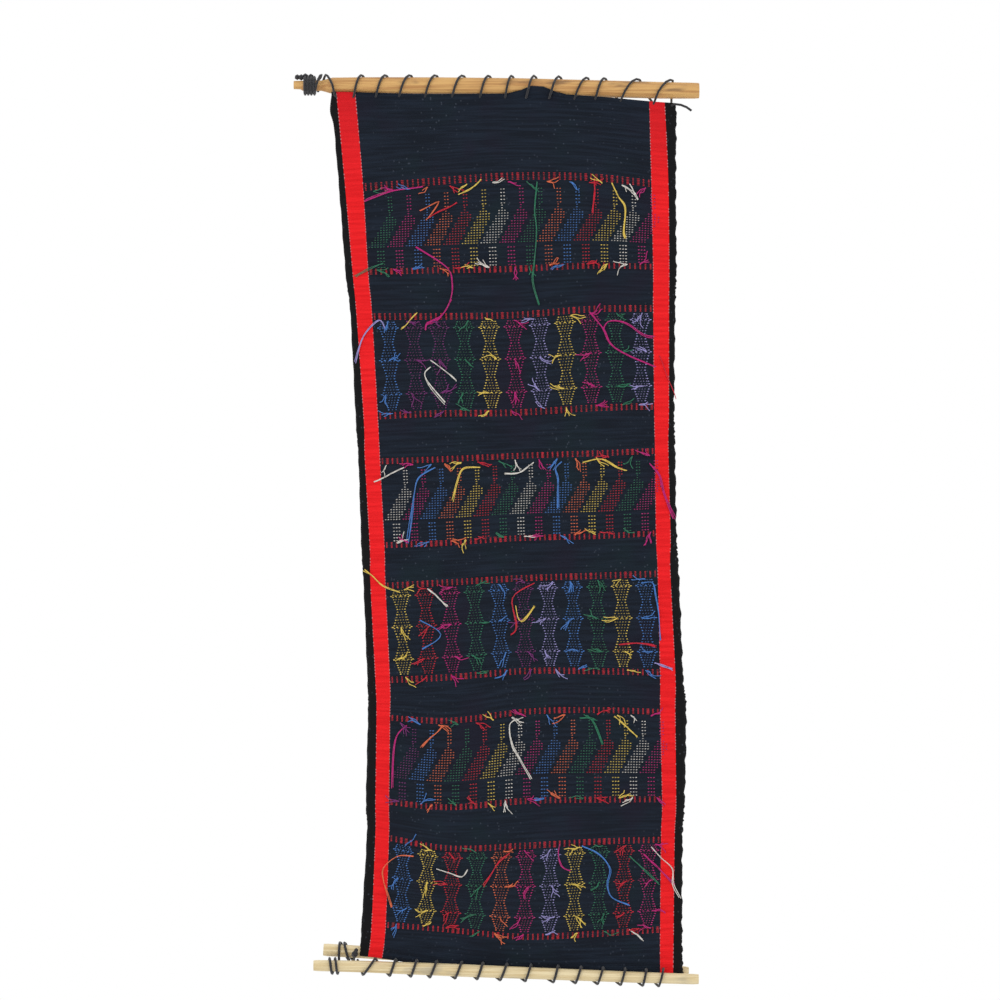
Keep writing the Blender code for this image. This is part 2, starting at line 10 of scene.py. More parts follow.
import bmesh
import bpy
import numpy as np
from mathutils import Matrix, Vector


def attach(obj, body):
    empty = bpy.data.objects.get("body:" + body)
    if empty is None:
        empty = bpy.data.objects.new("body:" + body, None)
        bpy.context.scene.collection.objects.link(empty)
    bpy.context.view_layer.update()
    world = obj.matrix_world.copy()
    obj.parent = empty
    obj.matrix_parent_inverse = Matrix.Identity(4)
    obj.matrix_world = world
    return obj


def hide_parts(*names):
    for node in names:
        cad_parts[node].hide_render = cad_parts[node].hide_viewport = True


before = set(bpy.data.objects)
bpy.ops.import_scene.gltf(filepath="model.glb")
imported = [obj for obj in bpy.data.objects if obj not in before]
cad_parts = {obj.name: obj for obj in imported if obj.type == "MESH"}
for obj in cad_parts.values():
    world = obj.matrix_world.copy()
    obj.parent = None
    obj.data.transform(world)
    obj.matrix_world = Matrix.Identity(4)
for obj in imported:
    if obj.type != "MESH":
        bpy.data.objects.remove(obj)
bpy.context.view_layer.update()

# The studio: the photograph is a square, 1.05 m wide, taken straight on to the wall the piece hangs on.
# Its middle lies 434 mm below the hanging stick. The floor is out of the picture, below the piece.

PICTURE_WIDTH = 1.05
PICTURE_MIDDLE = (0.001, -0.4342)
CAMERA_DISTANCE = 3.5
SENSOR_MM = 36.0
FLOOR_HEIGHT, FLOOR_REACH = -1.6, 3.0
PALE_GREY = (0.86, 0.86, 0.85)
ROOM_LIGHT = 1.0

camera = bpy.data.objects.new("camera", bpy.data.cameras.new("camera"))
bpy.context.scene.collection.objects.link(camera)
camera.data.sensor_width = SENSOR_MM
camera.data.lens = SENSOR_MM * CAMERA_DISTANCE / PICTURE_WIDTH
camera.location = (PICTURE_MIDDLE[0], -CAMERA_DISTANCE, PICTURE_MIDDLE[1])
camera.rotation_euler = (math.radians(90), 0.0, 0.0)
bpy.context.scene.camera = camera
# Colours are shown as they are, so the near-black ground and the red keep their depth
bpy.context.scene.view_settings.view_transform = "Standard"

Lamp = namedtuple("Lamp", "name place size watts")
for lamp in (
    Lamp("key_softbox", (-1.7, -2.6, 1.1), 1.8, 16.0),
    Lamp("fill_softbox", (2.0, -2.9, 0.1), 2.2, 7.0),
    Lamp("back_softbox", (0.6, 2.8, 1.2), 2.2, 10.0),
):
    light = bpy.data.lights.new(lamp.name, "AREA")
    light.size = lamp.size
    light.energy = lamp.watts
    holder = bpy.data.objects.new(lamp.name, light)
    bpy.context.scene.collection.objects.link(holder)
    holder.location = lamp.place
    aim = Vector((*PICTURE_MIDDLE[:1], 0.0, PICTURE_MIDDLE[1])) - holder.location
    holder.rotation_euler = aim.to_track_quat("-Z", "Y").to_euler()

room = bpy.data.worlds.new("pale_room")
room.use_nodes = True
room_light = room.node_tree.nodes["Background"]
room_light.inputs["Color"].default_value = (1.0, 1.0, 1.0, 1.0)
room_light.inputs["Strength"].default_value = ROOM_LIGHT
bpy.context.scene.world = room

floor_mesh = bpy.data.meshes.new("floor")
floor_work = bmesh.new()
bmesh.ops.create_grid(floor_work, x_segments=2, y_segments=2, size=FLOOR_REACH)
floor_work.to_mesh(floor_mesh)
floor_work.free()
floor = bpy.data.objects.new("floor", floor_mesh)
floor.location.z = FLOOR_HEIGHT
bpy.context.scene.collection.objects.link(floor)
floor_paint = bpy.data.materials.new("pale_floor")
floor_paint.use_nodes = True
floor_paint.node_tree.nodes["Principled BSDF"].inputs["Base Color"].default_value = (*PALE_GREY, 1.0)
floor_paint.node_tree.nodes["Principled BSDF"].inputs["Roughness"].default_value = 0.8
floor.data.materials.append(floor_paint)

# The cloth: one narrow warp-faced sheet off a backstrap loom, blue-black cotton with a red warp stripe
# inside each black selvedge. Its weft lies in fine ribs that bow across it, and its heading passes over
# the front of the hanging stick, which it is sewn to.

MM = 0.001
CLOTH_THICKNESS = 1.6 * MM
STICK_CLEARANCE = 0.66 * MM
RIB_PITCH = 1.6 * MM
RIB_HEIGHT = 0.16 * MM
PEAK_AT, PEAK_WIDTH, PEAK_HEIGHT = 0.60, 0.05, 9.0 * MM
RIPPLE_HEIGHT, RIPPLES_ACROSS, RIPPLES_DOWN = 1.6 * MM, 1.5, 2.0
SELVEDGE_CURL, CURL_WIDTH = 2.0 * MM, 0.03

# Places across the warp, as shares: the selvedges, the red stripes and the ground between them
WARP_MARKS = (0.0, 0.026, 0.066, 0.930, 0.971, 1.0)
GROUND_FROM, GROUND_TO = WARP_MARKS[2:4]
# Mesh columns in each of the five strips between those marks
STRIP_COLUMNS = (3, 3, 25, 3, 3)

# One row for each woven line that sets the hang, top to bottom, in millimetres: the left selvedge,
# the left stripe's edges, the right stripe's edges, the right selvedge, the line's heights at the
# left, quarter, middle, three quarters and right, and its depth
Line = namedtuple(
    "Line",
    "name left red_from red_to red_again red_end right"
    " at_left quarter middle far_quarter at_right depth",
)
LINES = [
    Line(
        "top edge", -175.9, -170.6, -150.8, 157.4, 173.6, 185.9,
        -6.3, -8.4, -8.4, -10.5, -17.9, -6.0,
    ),
    Line(
        "brocade 1 top", -168.0, -161.6, -142.8, 159.6, 177.4, 185.3,
        -103.5, -97.2, -90.9, -91.9, -100.8, -5.5,
    ),
    Line(
        "brocade 1 foot", -160.7, -153.3, -137.0, 161.6, 178.4, 185.9,
        -198.4, -196.9, -195.3, -191.6, -193.2, -4.8,
    ),
    Line(
        "brocade 2 top", -156.0, -149.6, -133.3, 161.6, 178.2, 184.8,
        -238.3, -238.3, -236.8, -230.5, -230.0, -4.4,
    ),
    Line(
        "brocade 2 foot", -150.2, -141.8, -127.0, 162.8, 178.2, 183.8,
        -350.7, -347.0, -346.0, -341.2, -339.1, -3.6,
    ),
    Line(
        "brocade 3 top", -147.5, -140.7, -125.0, 163.6, 177.6, 184.8,
        -391.2, -388.5, -384.9, -382.2, -379.1, -3.2,
    ),
    Line(
        "brocade 3 foot", -144.4, -135.5, -120.2, 164.8, 180.0, 186.4,
        -485.1, -482.5, -477.2, -475.1, -471.4, -2.6,
    ),
    Line(
        "brocade 4 top", -142.3, -135.0, -119.4, 166.4, 179.6, 188.5,
        -521.9, -517.7, -513.0, -510.3, -507.7, -2.3,
    ),
    Line(
        "brocade 4 foot", -138.1, -129.6, -114.5, 169.0, 185.0, 193.2,
        -626.8, -623.7, -616.9, -617.4, -619.0, -1.6,
    ),
    Line(
        "brocade 5 top", -137.6, -128.6, -114.5, 169.1, 184.8, 196.4,
        -658.4, -662.6, -653.1, -651.6, -654.2, -1.4,
    ),
    Line(
        "brocade 5 foot", -139.7, -129.7, -115.5, 171.2, 185.8, 194.8,
        -751.7, -759.7, -753.4, -751.7, -751.3, -0.8,
    ),
    Line(
        "brocade 6 top", -138.6, -129.7, -115.5, 170.1, 184.3, 192.7,
        -782.3, -796.5, -793.8, -789.1, -787.5, -0.6,
    ),
    Line(
        "brocade 6 foot", -144.4, -133.9, -119.2, 169.1, 183.2, 192.2,
        -882.0, -887.7, -895.7, -892.5, -887.2, -0.2,
    ),
    Line(
        "bottom edge", -146.0, -137.6, -122.9, 169.1, 182.7, 193.2,
        -913.0, -925.0, -929.0, -932.0, -933.0, 0.0,
    ),
]
LINE_VALUES = np.array([line[1:] for line in LINES]) * MM
LAST_LINE = len(LINES) - 1

# Sticks: where along X a section lies, its axis, and its radius, in millimetres
Section = namedtuple("Section", "x y z radius")
TOP_STICK = [
    Section(-215.5, 0.0, 1.5, 4.3),
    Section(-208.0, 0.0, 1.5, 4.6),
    Section(-205.5, 0.0, 0.8, 5.3),
    Section(-186.0, 0.0, 0.8, 5.5),
    Section(-175.0, 0.0, 0.8, 8.6),
    Section(-140.0, 0.0, 0.7, 9.1),
    Section(-60.0, 0.3, 0.6, 9.1),
    Section(20.0, 0.0, -0.2, 9.0),
    Section(100.0, 0.0, -2.2, 8.9),
    Section(170.0, 0.0, -4.0, 8.8),
    Section(205.0, 0.0, -4.4, 8.4),
    Section(210.0, 0.0, -4.4, 8.0),
]


def smooth(rows, at):
    """Rows of values read at places along them, on a Catmull-Rom curve; each place has its own column."""
    at = np.asarray(at, float)
    rows = np.broadcast_to(rows, (len(rows), len(at)))
    last = len(rows) - 1
    first = np.minimum(at.astype(int), last - 1)
    share = at - first
    before, start, end, after = (
        rows[np.clip(first + step, 0, last), np.arange(len(at))] for step in (-1, 0, 1, 2)
    )
    slope_in, slope_out = (end - before) / 2, (after - start) / 2
    turn = 3 * (end - start) - 2 * slope_in - slope_out
    return start + share * (slope_in + share * (turn + share * (slope_in + slope_out - 2 * (end - start))))


def along(sections, x):
    """The axis y and z and the radius of a stick at each x, all in metres."""
    table = np.array(sections) * MM
    return [np.interp(x, table[:, 0], table[:, column]) for column in (1, 2, 3)]


def edge_wave(down):
    """How far each selvedge stands out of its line: the weft's uneven pull, stronger on the right."""
    run = np.asarray(down) * 68.0
    left = 0.15 * np.sin(run / 1.9) + 0.2 * np.sin(run / 4.7 + 1.0)
    left -= 2.6 * np.exp(-(((down - 0.27) / 0.13) ** 2))
    right = 0.4 * np.sin(run / 1.7) + 0.4 * np.sin(run / 3.1 + 2.0) + 0.2 * np.sin(run / 0.9)
    right -= 3.4 * np.exp(-((down / 0.05) ** 2))
    return left * MM, right * MM


def cloth(across, down):
    """Points of the sheet's middle surface: across is a place in the warp, down counts the lines."""
    across, down = (np.asarray(part, float) for part in np.broadcast_arrays(across, down))
    marks = np.array([smooth(LINE_VALUES[:, [column]], down) for column in range(6)])
    wave_left, wave_right = edge_wave(down)
    marks[0] += wave_left
    marks[5] += wave_right
    strip = np.clip(np.searchsorted(WARP_MARKS, across, "right") - 1, 0, 4)
    low, high = np.take(WARP_MARKS, strip), np.take(WARP_MARKS, strip + 1)
    share = (across - low) / (high - low)
    each = np.arange(len(across))
    x = (1 - share) * marks[strip, each] + share * marks[strip + 1, each]
    width_share = np.clip((x - marks[0]) / (marks[5] - marks[0]), 0, 1)
    heights = np.array([smooth(line[6:11, None], width_share * 4) for line in LINE_VALUES])
    z = smooth(heights, down)
    top_share = np.clip(1 - 5 * down, 0, 1)
    z += PEAK_HEIGHT * top_share * np.exp(-(((width_share - PEAK_AT) / PEAK_WIDTH) ** 2))
    length_share = down / LAST_LINE
    hang = np.sin(math.pi * length_share)
    y = smooth(LINE_VALUES[:, [11]], down)
    y += RIPPLE_HEIGHT * hang * np.sin(
        2 * math.pi * (RIPPLES_ACROSS * width_share + RIPPLES_DOWN * length_share)
    )
    curl = np.exp(-width_share / CURL_WIDTH) + np.exp((width_share - 1) / CURL_WIDTH)
    y += SELVEDGE_CURL * hang * curl
    _, stick_z, radius = along(TOP_STICK, x)
    reach = radius + CLOTH_THICKNESS / 2 + STICK_CLEARANCE
    over_stick = np.sqrt(np.clip(reach**2 - (z - stick_z) ** 2, 0, None))
    y = np.where(top_share > 0, np.minimum(y, -over_stick), y)
    return np.stack([x, y, z], axis=1)


# The middle column's heights against the count of lines, to space the ribs evenly by
FINE_DOWN = np.linspace(0, LAST_LINE, 4001)
FINE_HEIGHT = cloth(np.full(4001, 0.5), FINE_DOWN)[:, 2]


def down_at(height):
    """The count of lines at a height of the cloth's middle column."""
    return np.interp(-np.asarray(height), -FINE_HEIGHT, FINE_DOWN)


class Link:
    """One value in a node tree. Arithmetic on it adds the Math nodes that work it out."""

    def __init__(self, tree, socket):
        self.tree = tree
        self.socket = socket

    def maths(self, operation, *others):
        return self.tree.add("ShaderNodeMath", dict(enumerate((self, *others))), operation=operation)

    def __add__(self, other):
        return self.maths("ADD", other)

    def __radd__(self, other):
        return self.maths("ADD", other)

    def __sub__(self, other):
        return self.maths("SUBTRACT", other)

    def __rsub__(self, other):
        return self.tree.number("SUBTRACT", other, self)

    def __mul__(self, other):
        return self.maths("MULTIPLY", other)

    def __rmul__(self, other):
        return self.maths("MULTIPLY", other)

    def __gt__(self, other):
        return self.maths("GREATER_THAN", other)

    def __lt__(self, other):
        return self.maths("LESS_THAN", other)

    def near(self, middle, reach):
        """1 within reach of a middle value, and 0 elsewhere."""
        return self.maths("COMPARE", middle, reach)

    def rise(self, low, high):
        """0 below low, 1 above high, and a smooth rise between."""
        return self.tree.add(
            "ShaderNodeMapRange",
            {"Value": self, "From Min": low, "From Max": high},
            interpolation_type="SMOOTHSTEP",
        )


class Tree:
    """A node tree: one method adds any node, with its settings first and then its sockets."""

    def __init__(self, tree):
        self.tree = tree

    def add(self, kind, sockets=None, out=0, **settings):
        node = self.tree.nodes.new(kind)
        for name, value in settings.items():
            setattr(node, name, value)
        for name, value in (sockets or {}).items():
            if isinstance(value, Link):
                self.tree.links.new(value.socket, node.inputs[name])
            else:
                node.inputs[name].default_value = value
        return Link(self, node.outputs[out]) if len(node.outputs) else None

    def number(self, operation, *values):
        return self.add("ShaderNodeMath", dict(enumerate(values)), operation=operation)

    def mix(self, share, plain, other):
        """A blend of two colours, each a link or red, green and blue."""
        plain, other = (side if isinstance(side, Link) else (*side, 1.0) for side in (plain, other))
        return self.add("ShaderNodeMix", {0: share, 6: plain, 7: other}, out=2, data_type="RGBA")


class Finish(Tree):
    """A material with a Principled shader; what doesn't vary is set on the shader's own sockets."""

    def __init__(self, name, **constants):
        self.material = bpy.data.materials.new(name)
        self.material.use_nodes = True
        super().__init__(self.material.node_tree)
        self.shader = self.tree.nodes["Principled BSDF"]
        for socket, value in constants.items():
            self.shader.inputs[socket.replace("_", " ")].default_value = value

    def feed(self, socket, link):
        self.tree.links.new(link.socket, self.shader.inputs[socket])

    def relief(self, height, distance, strength=1.0):
        bump = {"Height": height, "Distance": distance, "Strength": strength}
        self.feed("Normal", self.add("ShaderNodeBump", bump))

    def noise(self, place, scale, detail=2.0):
        sockets = {"Vector": place, "Scale": scale, "Detail": detail}
        return self.add("ShaderNodeTexNoise", sockets)


def piece_from(name, mesh, finish):
    """A finished mesh as an object at the origin, riding on the one body."""
    piece = bpy.data.objects.new(name, mesh)
    bpy.context.scene.collection.objects.link(piece)
    mesh.materials.clear()
    mesh.materials.append(finish.material)
    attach(piece, "root")
    return piece


def cloth_finish():
    """Warp-faced cotton: fine warps over the ribs, stripes by the warp, and pale flecks of weft."""
    look = Finish("warp_faced_cotton", Roughness=0.92, Sheen_Weight=0.12, Sheen_Roughness=0.5)
    look.shader.inputs["Specular IOR Level"].default_value = 0.18
    place = look.add("ShaderNodeUVMap", uv_map="weave")
    warp = look.add("ShaderNodeSeparateXYZ", {0: place})
    rib = Link(look, warp.socket.node.outputs[1])
    stretched = look.add("ShaderNodeMapping", {"Vector": place, "Scale": (6.0, 0.55, 1.0)})
    patches = look.add("ShaderNodeMapping", {"Vector": place, "Scale": (5.0, 0.018, 1.0)})
    streak = look.noise(stretched, 1.0, 3.0)
    patch = look.noise(patches, 1.0, 2.0)
    ground = look.mix(streak.rise(0.35, 0.7), (0.0025, 0.0055, 0.0125), (0.0075, 0.0135, 0.026))
    ground = look.mix(patch.rise(0.52, 0.72) * 0.55, ground, (0.004, 0.014, 0.019))
    ground = look.mix((1 - patch.rise(0.3, 0.46)) * 0.5, ground, (0.0085, 0.0055, 0.017))
    selvedge = (warp < WARP_MARKS[1]) + (warp > WARP_MARKS[4])
    ground = look.mix(selvedge, ground, (0.0022, 0.0022, 0.0032))
    # Red stripes, with painted shade that darkens them near the top, where the cloth folds at the heading
    red = look.mix(streak.rise(0.25, 0.75), (0.66, 0.004, 0.007), (0.86, 0.012, 0.016))
    red = look.mix((1 - rib.rise(0.0, 70.0)) * 0.5, red, (0.42, 0.006, 0.012))
    low_stripe = (warp > WARP_MARKS[1]) * (warp < WARP_MARKS[2])
    high_stripe = (warp > WARP_MARKS[3]) * (warp < WARP_MARKS[4])
    colour = look.mix(low_stripe + high_stripe, ground, red)
    # Weft shows as pale flecks: one every other rib along the stripes' edges, and a few in the ground
    other_rib = look.number("FRACT", rib * 0.5) > 0.5
    edges = warp.near(WARP_MARKS[1], 0.0012) + warp.near(WARP_MARKS[2], 0.0012)
    edges = edges + warp.near(WARP_MARKS[3], 0.0012) + warp.near(WARP_MARKS[4], 0.0012)
    crossing = {0: look.number("FLOOR", warp * 260.0), 1: look.number("FLOOR", rib)}
    cell = look.add("ShaderNodeCombineXYZ", crossing)
    chance = look.add("ShaderNodeTexWhiteNoise", {"Vector": cell}, noise_dimensions="2D")
    colour = look.mix(edges * other_rib * (chance > 0.35) * 0.7, colour, (0.50, 0.22, 0.24))
    fleck = (chance > 0.985) * patch.rise(0.4, 0.6)
    colour = look.mix(fleck * (1 - low_stripe - high_stripe) * 0.2, colour, (0.12, 0.14, 0.19))
    look.feed("Base Color", colour)
    look.feed("Roughness", 0.86 + 0.1 * streak)
    warps = look.number("SINE", warp * 2 * math.pi * 310.0 + other_rib * math.pi)
    furrow = look.number("ABSOLUTE", look.number("SINE", rib * math.pi))
    look.relief(warps * 0.25 + furrow, 0.0004, 0.6)
    return look


def woven_sheet(name, finish):
    """The whole sheet as one closed mesh, with a crest and a furrow in its surface for each rib."""
    warps = np.concatenate([
        np.linspace(low, high, columns, endpoint=False)
        for low, high, columns in zip(WARP_MARKS, WARP_MARKS[1:], STRIP_COLUMNS)
    ] + [[1.0]])
    ribs = round((FINE_HEIGHT[0] - FINE_HEIGHT[-1]) / RIB_PITCH)
    steps = np.arange(2 * ribs + 1)
    downs = down_at(FINE_HEIGHT[0] + (FINE_HEIGHT[-1] - FINE_HEIGHT[0]) * steps / (2 * ribs))
    across, down = np.meshgrid(warps, downs)
    middle = cloth(across.ravel(), down.ravel()).reshape(len(downs), len(warps), 3)
    crest = np.where(steps % 2 == 1, RIB_HEIGHT, 0.0)[:, None]
    front, back = middle.copy(), middle.copy()
    front[..., 1] -= CLOTH_THICKNESS / 2 - RIB_HEIGHT + crest
    back[..., 1] += CLOTH_THICKNESS / 2 - RIB_HEIGHT + crest
    rim = 0.45 * CLOTH_THICKNESS
    for side, outward in ((0, -1), (-1, 1)):
        front[:, side, 1] += 0.6 * rim
        back[:, side, 1] -= 0.6 * rim
        front[:, side, 0] += outward * crest[:, 0] * 1.6
        back[:, side, 0] += outward * crest[:, 0] * 1.6
    rows, columns = across.shape
    corner = (np.arange(rows - 1)[:, None] * columns + np.arange(columns - 1)).ravel()
    face = np.stack([corner, corner + columns, corner + columns + 1, corner + 1], axis=1)
    total = rows * columns
    rim_loop = np.concatenate([
        np.arange(columns - 1),
        np.arange(rows - 1) * columns + columns - 1,
        total - 1 - np.arange(columns - 1),
        (np.arange(rows - 1)[::-1] + 1) * columns,
    ])
    after = np.roll(rim_loop, -1)
    edge_face = np.stack([rim_loop, after, after + total, rim_loop + total], axis=1)
    faces = np.concatenate([face, face[:, ::-1] + total, edge_face])
    points = np.concatenate([front.reshape(-1, 3), back.reshape(-1, 3)])
    mesh = bpy.data.meshes.new(name)
    mesh.from_pydata(points.tolist(), [], faces.tolist())
    mesh.shade_smooth()
    layer = mesh.uv_layers.new(name="weave")
    rib_count = np.broadcast_to(steps[:, None] / 2, across.shape)
    weave = np.tile(np.stack([across.ravel(), rib_count.ravel()], axis=1), (2, 1))
    corners = np.empty(len(mesh.loops), int)
    mesh.loops.foreach_get("vertex_index", corners)
    layer.uv.foreach_set("vector", weave[corners].astype(np.float32).ravel())
    return piece_from(name, mesh, finish)


woven_cloth = woven_sheet("woven_cloth", cloth_finish())
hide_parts("woven_panel")

# Brocade: coloured yarns laid in by hand with the ground weft. This side is the reverse, so each
# figure shows as rows of short floats. A dashed red strip bounds each of the six bands above and below.

GROUND_WIDTH = 298 * MM
FLOAT_HALF = Vector((1.15, 0.55, 0.6)) * MM
FLOAT_LIFT = 1.0 * MM
DOT_PITCH = 3.0 * MM
BARS, BAR_FLOATS, STRIP_SHARE = 55, 5, 0.085
LEAF_FROM, LEAF_STEP = 0.048, 0.0652
LEG_ROWS, LEAF_ROWS, STEM_ROWS = 6, 15, 5
# Where each part of a leaf figure starts, and how far it runs, as shares of the band's height
LEG_FROM, LEG_RUN = 0.71, 0.19
LEAF_FROM_SHARE, LEAF_RUN = 0.66, 0.34
STEM_FROM, STEM_RUN = 0.17, 0.13
# The leaf's edges in millimetres from its leg: each leans right as it rises, and the right one turns in
LEFT_EDGE, LEFT_LEAN = -11.5, 23
RIGHT_EDGE, RIGHT_LEAN = 4.5, 20
SHOULDER, SHOULDER_AT, SHOULDER_FALL = 19, 0.7, 22
STEM_ASIDE = 11 * MM
CHAIN_BELLIES, CHAIN_REPEAT = (0.17, 0.455, 0.74), 0.285
CHAIN_BELLY, CHAIN_WAIST, CHAIN_ROWS = 8.9 * MM, 3.6 * MM, 34
CHAIN_FROM, CHAIN_RUN = 0.11, 0.78
CHAIN_MARGIN, CHAIN_SPARE = 0.6, 0.1
ROW_LINE_STEP = 5.2 * MM
# Each kind of float: its width and its brightness, as shares
BAR_SHADE, JOINED_WIDTH, JOINED_SHARE = 0.75, 1.7, 0.18
LEG_FLOAT, LEAF_FLOAT, STEM_FLOAT = (1.0, 0.8), (0.9, 0.62), (0.9, 0.8)
OUTLINE_FLOAT, INNER_FLOAT, ROW_LINE_FLOAT = (0.95, 0.95), (0.75, 0.34), (1.2, 1.0)
YARN_COLOURS = {
    "crimson": (0.56, 0.008, 0.030),
    "magenta": (0.50, 0.010, 0.180),
    "blue": (0.060, 0.200, 0.560),
    "lavender": (0.330, 0.300, 0.620),
    "orange": (0.720, 0.150, 0.060),
    "yellow": (0.760, 0.560, 0.100),
    "white": (0.720, 0.690, 0.640),
    "green": (0.020, 0.170, 0.090),
    "purple": (0.180, 0.020, 0.160),
}
LEAF_COLOURS = {
    1: "green magenta blue orange crimson yellow white magenta green orange blue crimson yellow white magenta",
    3: "white magenta blue orange yellow crimson green white magenta blue orange yellow crimson green magenta",
    5: "purple blue orange green crimson yellow white magenta blue orange green crimson yellow white magenta",
}
CHAIN_COLOURS = {
    2: "blue purple purple green yellow magenta lavender yellow magenta green lavender",
    4: "yellow crimson magenta green blue purple lavender blue green yellow blue",
    6: "blue yellow crimson green orange magenta lavender yellow green crimson magenta",
}
BANDS = ["brocade_%d" % band for band in range(1, 7)]
laid = {colour: [] for colour in YARN_COLOURS}
chance = random.Random(7)


def lay(colour, band, aside, share, width, shade):
    """One float: aside is its place across the ground in metres, share its place down the band."""
    across = GROUND_FROM + (GROUND_TO - GROUND_FROM) * aside / GROUND_WIDTH
    laid[colour].append((across, 2 * band - 1 + share, width, shade * chance.uniform(0.7, 1.15)))


def leaf(colour, band, foot):
    """A leaf on three legs, with a stem above its tip; foot is its middle leg's place across."""
    for side in (-1, 0, 1):
        for row in range(LEG_ROWS):
            share = LEG_FROM + LEG_RUN * row / (LEG_ROWS - 1)
            lay(colour, band, foot + side * DOT_PITCH, share, *LEG_FLOAT)
    for row in range(LEAF_ROWS):
        up = row / (LEAF_ROWS - 1)
        left = (LEFT_EDGE + LEFT_LEAN * up) * MM
        shoulder = SHOULDER - SHOULDER_FALL * max(up - SHOULDER_AT, 0)
        right = min(RIGHT_EDGE + RIGHT_LEAN * up, shoulder) * MM
        place = left + (row % 2) * DOT_PITCH / 2
        while place <= right:
            lay(colour, band, foot + place, LEAF_FROM_SHARE - LEAF_RUN * up, *LEAF_FLOAT)
            place += DOT_PITCH
    for row in range(STEM_ROWS):
        for side in (0, 1):
            share = STEM_FROM + STEM_RUN * row / (STEM_ROWS - 1)
            lay(colour, band, foot + STEM_ASIDE + side * DOT_PITCH, share, *STEM_FLOAT)


def chain(colour, band, spine):
    """A chain of diamonds down the band: bright outlines, darker floats inside, and a line at each belly."""
    for row in range(CHAIN_ROWS):
        share = CHAIN_FROM + CHAIN_RUN * row / (CHAIN_ROWS - 1)
        turn = ((share - CHAIN_BELLIES[0]) / CHAIN_REPEAT + 0.5) % 1 - 0.5
        half = CHAIN_BELLY - (CHAIN_BELLY - CHAIN_WAIST) * abs(turn) * 2
        for side in (-1, 1):
            lay(colour, band, spine + side * half, share, *OUTLINE_FLOAT)
        place = -half + DOT_PITCH * (0.8 + 0.5 * (row % 2))
        while place < half - 0.5 * DOT_PITCH:
            lay(colour, band, spine + place, share, *INNER_FLOAT)
            place += DOT_PITCH
    for belly in CHAIN_BELLIES:
        for step in range(-2, 3):
            lay(colour, band, spine + step * ROW_LINE_STEP, belly, *ROW_LINE_FLOAT)


for band in range(1, 7):
    for bar in range(BARS):
        middle = (bar + 0.5) / BARS * GROUND_WIDTH
        for strip_from in (0.0, 1 - STRIP_SHARE):
            width = JOINED_WIDTH if chance.random() < JOINED_SHARE else 1.0
            for rung in range(BAR_FLOATS):
                share = strip_from + STRIP_SHARE * (rung + 0.5) / BAR_FLOATS
                lay("crimson", band, middle, share, width, BAR_SHADE)

for band, names in LEAF_COLOURS.items():
    for number, colour in enumerate(names.split()):
        leaf(colour, band, (LEAF_FROM + LEAF_STEP * number) * GROUND_WIDTH)

for band, names in CHAIN_COLOURS.items():
    colours = names.split()
    for number, colour in enumerate(colours):
        spine = (number + CHAIN_MARGIN) / (len(colours) + CHAIN_SPARE) * GROUND_WIDTH
        chain(colour, band, spine)


class Recipe(Tree):
    """A Geometry Nodes tree with named inputs; it ends in Realize Instances and Set Material."""

    def __init__(self, name, *sizes):
        super().__init__(bpy.data.node_groups.new(name, "GeometryNodeTree"))
        sockets = self.tree.interface
        sockets.new_socket("Geometry", in_out="OUTPUT", socket_type="NodeSocketGeometry")
        sockets.new_socket("Geometry", in_out="INPUT", socket_type="NodeSocketGeometry")
        sockets.new_socket("Finish", in_out="INPUT", socket_type="NodeSocketMaterial")
        for size in sizes:
            sockets.new_socket(size, in_out="INPUT", socket_type="NodeSocketFloat")
        self.given = self.tree.nodes.new("NodeGroupInput")

    def take(self, name):
        return Link(self, self.given.outputs[name])

    def end(self, geometry):
        whole = self.add("GeometryNodeRealizeInstances", {"Geometry": geometry})
        sockets = {"Geometry": whole, "Material": self.take("Finish")}
        self.add("NodeGroupOutput", {"Geometry": self.add("GeometryNodeSetMaterial", sockets)})

    def make(self, name, data, finish, **sizes):
        """The recipe worked on a mesh or a curve, as a plain piece."""
        carrier = bpy.data.objects.new(name + "_guide", data)
        bpy.context.scene.collection.objects.link(carrier)
        modifier = carrier.modifiers.new("recipe", "NODES")
        modifier.node_group = self.tree
        values = {"Finish": finish.material, **sizes}
        for item in self.tree.interface.items_tree:
            if item.in_out == "INPUT" and item.name in values:
                modifier[item.identifier] = values[item.name]
        seen = carrier.evaluated_get(bpy.context.evaluated_depsgraph_get())
        mesh = bpy.data.meshes.new_from_object(seen)
        bpy.data.objects.remove(carrier)
        mesh.shade_smooth()
        return piece_from(name, mesh, finish)


float_recipe = Recipe("brocade_floats", "Width", "Depth", "Height")
bead = float_recipe.add("GeometryNodeMeshIcoSphere", {"Radius": 1.0, "Subdivisions": 1})
half_sizes = {place: float_recipe.take(name) for place, name in enumerate(("Width", "Depth", "Height"))}
half_size = float_recipe.add("ShaderNodeCombineXYZ", half_sizes)
stretch = float_recipe.add("GeometryNodeInputNamedAttribute", {"Name": "stretch"}, data_type="FLOAT_VECTOR")
sized = float_recipe.add("ShaderNodeVectorMath", {0: half_size, 1: stretch}, operation="MULTIPLY")
beads = {"Points": float_recipe.take("Geometry"), "Instance": bead, "Scale": sized}
float_recipe.end(float_recipe.add("GeometryNodeInstanceOnPoints", beads))


